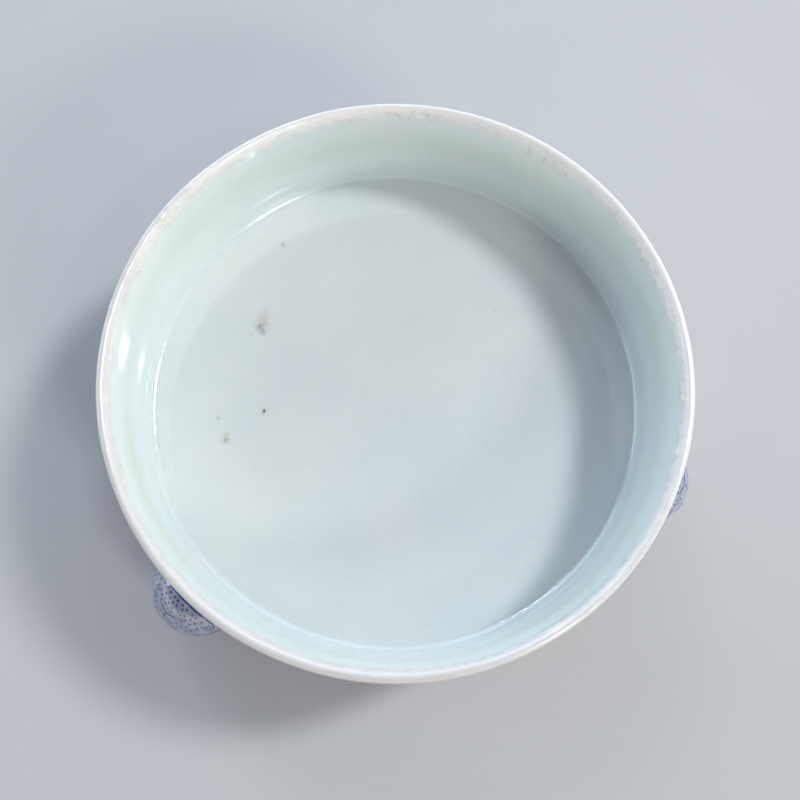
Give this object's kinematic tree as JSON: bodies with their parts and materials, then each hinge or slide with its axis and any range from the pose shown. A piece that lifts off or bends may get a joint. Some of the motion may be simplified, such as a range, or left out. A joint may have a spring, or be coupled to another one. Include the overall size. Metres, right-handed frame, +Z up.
{
  "type": "tripod brush washer",
  "caption": "Shallow straight-sided round porcelain vessel on moulded cabriole feet, for rinsing writing brushes at a desk; pale blue-green glaze with painted feet.",
  "frame": {"origin": "centre of the well's floor, on the vessel's turning axis; the soles stand 35 mm below it and the lip 36 mm above", "axes": "+Z up along the turning axis, out of the mouth; +Y towards the back foot; +X to the right, with the left and right feet mirrored across the YZ plane"},
  "size_m": [0.1806, 0.1869, 0.071],
  "materials": {
    "body_glaze": "glossy",
    "painted_foot": "glossy",
    "luting_slip": "glossy"
  },
  "bodies": {
    "root": {"wall": "body_glaze", "base": "body_glaze", "corner_coil": "body_glaze", "foot_left": "painted_foot", "foot_right": "painted_foot", "foot_back": "painted_foot", "foot_slip_left": "luting_slip", "foot_slip_right": "luting_slip", "foot_slip_back": "luting_slip"}
  },
  "joints": []
}
